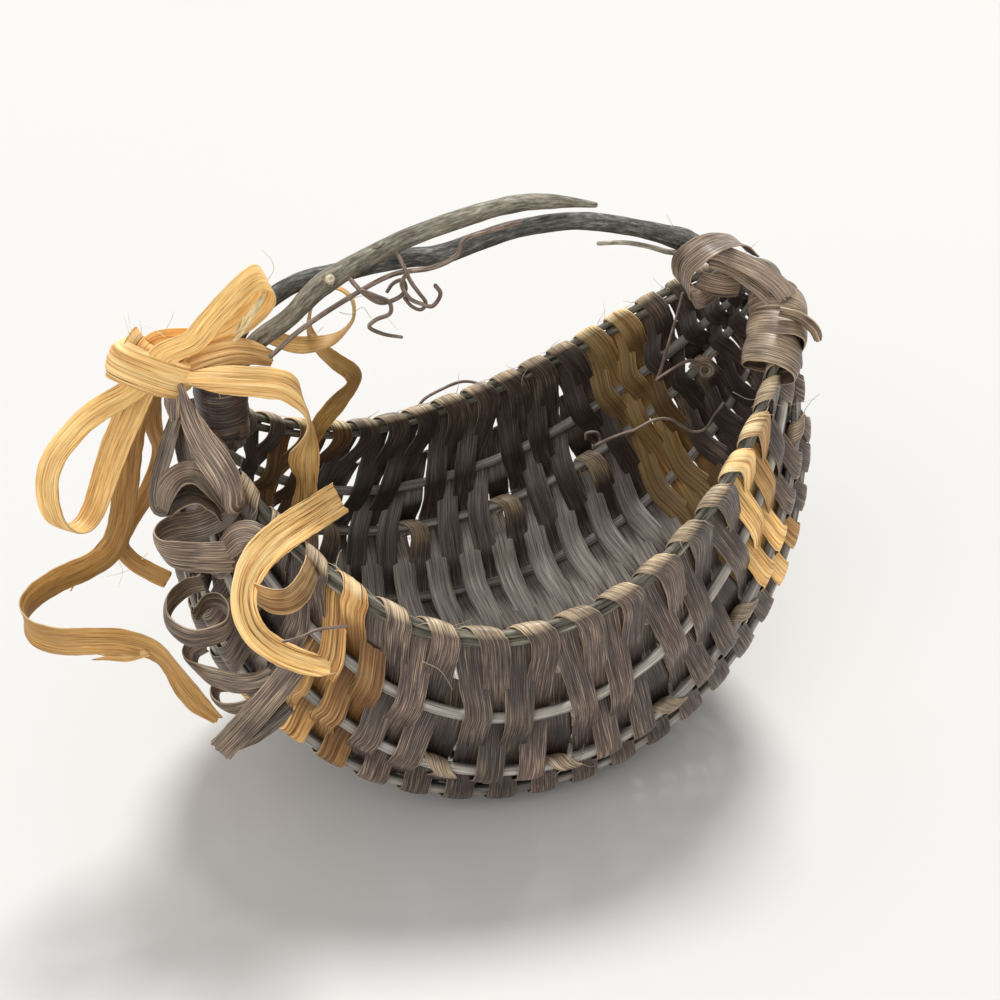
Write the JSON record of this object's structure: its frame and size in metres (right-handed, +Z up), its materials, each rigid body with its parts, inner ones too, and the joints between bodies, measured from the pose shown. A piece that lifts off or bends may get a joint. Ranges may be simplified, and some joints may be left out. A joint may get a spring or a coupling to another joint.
{
  "type": "gathering basket",
  "caption": "Oval ribbed basket of flat woven reed with a rim raised at both ends, an arched vine handle and a reed bow.",
  "frame": {"origin": "on the flat underside of the lowest woven reeds, below the middle of the bowl", "axes": "+Z up; +X along the basket's length, away from the end with the bow; +Y across it"},
  "size_m": [0.3681, 0.231, 0.2759],
  "materials": {
    "orange_reed": "flat split reed dyed orange, satin, paler fibres along its length",
    "vine_brown": "vine with its bark on, grey-brown, matt",
    "vine_grey": "vine with its bark on, blue-grey, matt",
    "brown_reed": "flat split reed dyed purple-brown, satin, worn to tan on the wraps",
    "rib_reed": "round reed, weathered grey-brown, matt",
    "rim_strand": "bark-covered shoot, dark olive-grey, matt",
    "tendril": "dry tendril or thin twig, brown, matt"
  },
  "bodies": {
    "root": {"band_curl_front": "orange_reed", "band_curl_front_inner": "orange_reed", "band_curl_small": "orange_reed", "bow_band_back": "orange_reed", "bow_band_right": "orange_reed", "bow_knot": "orange_reed", "bow_loop_lower": "orange_reed", "bow_loop_upper": "orange_reed", "bow_tail_long": "orange_reed", "bow_tail_short": "orange_reed", "handle_twig": "vine_brown", "handle_vine_brown": "vine_brown", "handle_vine_grey": "vine_grey", "lashing_left_far": "brown_reed", "lashing_left_near": "brown_reed", "reed_curl_1": "brown_reed", "reed_curl_2": "brown_reed", "reed_curl_3": "brown_reed", "reed_curl_4": "brown_reed", "reed_curl_top": "brown_reed", "reed_drop_front": "brown_reed", "reed_drop_left": "brown_reed", "reed_end_flat": "brown_reed", "rib_far_base": "rib_reed", "rib_far_lower": "rib_reed", "rib_far_middle": "rib_reed", "rib_far_upper": "rib_reed", "rib_keel": "rib_reed", "rib_near_base": "rib_reed", "rib_near_lower": "rib_reed", "rib_near_middle": "rib_reed", "rib_near_upper": "rib_reed", "rim_strand_lower": "rim_strand", "rim_strand_upper": "rim_strand", "strap_left": "brown_reed", "strap_right_end": "brown_reed", "strap_right_loop": "brown_reed", "strap_right_wrap_1": "brown_reed", "strap_right_wrap_2": "brown_reed", "strap_right_wrap_3": "brown_reed", "tendril_curl_1": "tendril", "tendril_curl_2": "tendril", "tendril_far_rim": "tendril", "tendril_handle": "tendril", "tendril_inside_coil": "tendril", "tendril_inside_long": "tendril", "tendril_near_rim": "tendril", "weaver_body_1": "brown_reed", "weaver_body_2": "brown_reed", "weaver_body_3": "brown_reed", "weaver_body_4": "brown_reed", "weaver_left_band": "orange_reed", "weaver_left_end": "brown_reed", "weaver_right_band": "orange_reed", "weaver_right_end_1": "brown_reed", "weaver_right_end_2": "brown_reed"}
  },
  "joints": []
}
